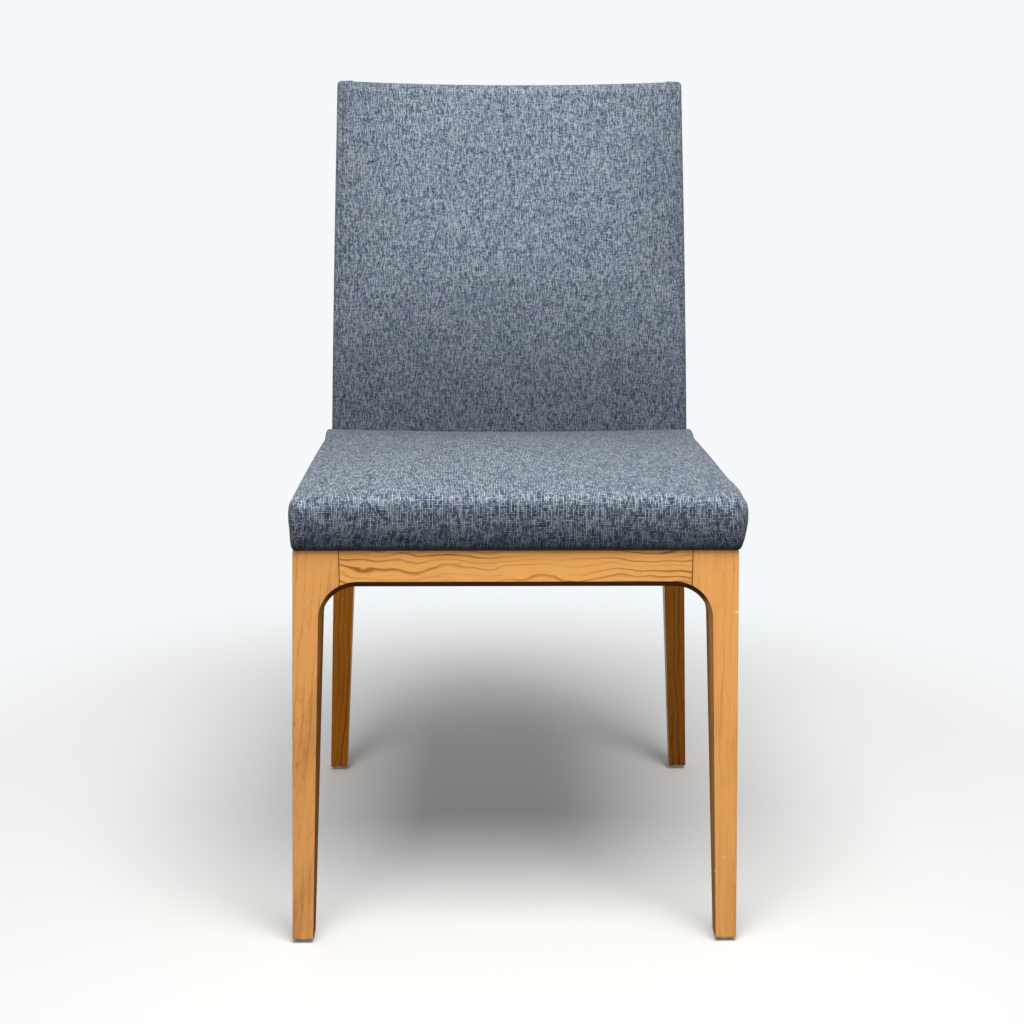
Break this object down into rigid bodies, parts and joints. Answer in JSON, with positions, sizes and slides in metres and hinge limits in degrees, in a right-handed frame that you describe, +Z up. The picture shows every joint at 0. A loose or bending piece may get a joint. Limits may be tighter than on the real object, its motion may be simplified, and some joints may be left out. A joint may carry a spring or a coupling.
{
  "type": "upholstered dining chair",
  "caption": "Armless dining chair with a padded cloth seat and a tall, slightly curved padded back on a slim hardwood frame with tapered legs.",
  "frame": {"origin": "middle of the chair's footprint box, on the floor under the glides", "axes": "+Z up, -Y the way a sitter faces, +X to the right as the chair is seen from the front"},
  "size_m": [0.4514, 0.5232, 0.8496],
  "materials": {
    "frame_wood": "honey-stained hardwood, satin lacquer",
    "inner_wood": "raw hardwood",
    "dowel_wood": "fluted beech dowel",
    "plywood": "raw plywood",
    "hardboard": "brown hardboard",
    "fastener_steel": "zinc-plated",
    "glide_plastic": "white nylon",
    "foam": "cut upholstery foam",
    "cover_cloth": "heathered blue-grey plain weave",
    "dust_cloth": "black non-woven cloth"
  },
  "bodies": {
    "root": {"back_board_pins": "fastener_steel", "back_cover": "cover_cloth", "back_foam": "foam", "back_lower_rail": "inner_wood", "back_lower_rail_dowels": "dowel_wood", "back_panel": "plywood", "back_panel_screws": "fastener_steel", "back_rear_board": "hardboard", "back_top_rail": "inner_wood", "back_top_rail_dowels": "dowel_wood", "corner_block_front_left": "inner_wood", "corner_block_front_right": "inner_wood", "corner_block_rear_left": "inner_wood", "corner_block_rear_right": "inner_wood", "corner_block_screws": "fastener_steel", "front_leg_left": "frame_wood", "front_leg_right": "frame_wood", "front_rail": "frame_wood", "front_rail_dowels": "dowel_wood", "glide_front_left": "glide_plastic", "glide_front_right": "glide_plastic", "glide_nails": "fastener_steel", "glide_rear_left": "glide_plastic", "glide_rear_right": "glide_plastic", "rear_leg_left": "frame_wood", "rear_leg_right": "frame_wood", "rear_rail": "frame_wood", "rear_rail_dowels": "dowel_wood", "seat_board": "plywood", "seat_cover": "cover_cloth", "seat_cover_staples": "fastener_steel", "seat_dust_cover": "dust_cloth", "seat_foam": "foam", "seat_screws": "fastener_steel", "side_rail_left": "frame_wood", "side_rail_left_dowels": "dowel_wood", "side_rail_right": "frame_wood", "side_rail_right_dowels": "dowel_wood"}
  },
  "joints": []
}
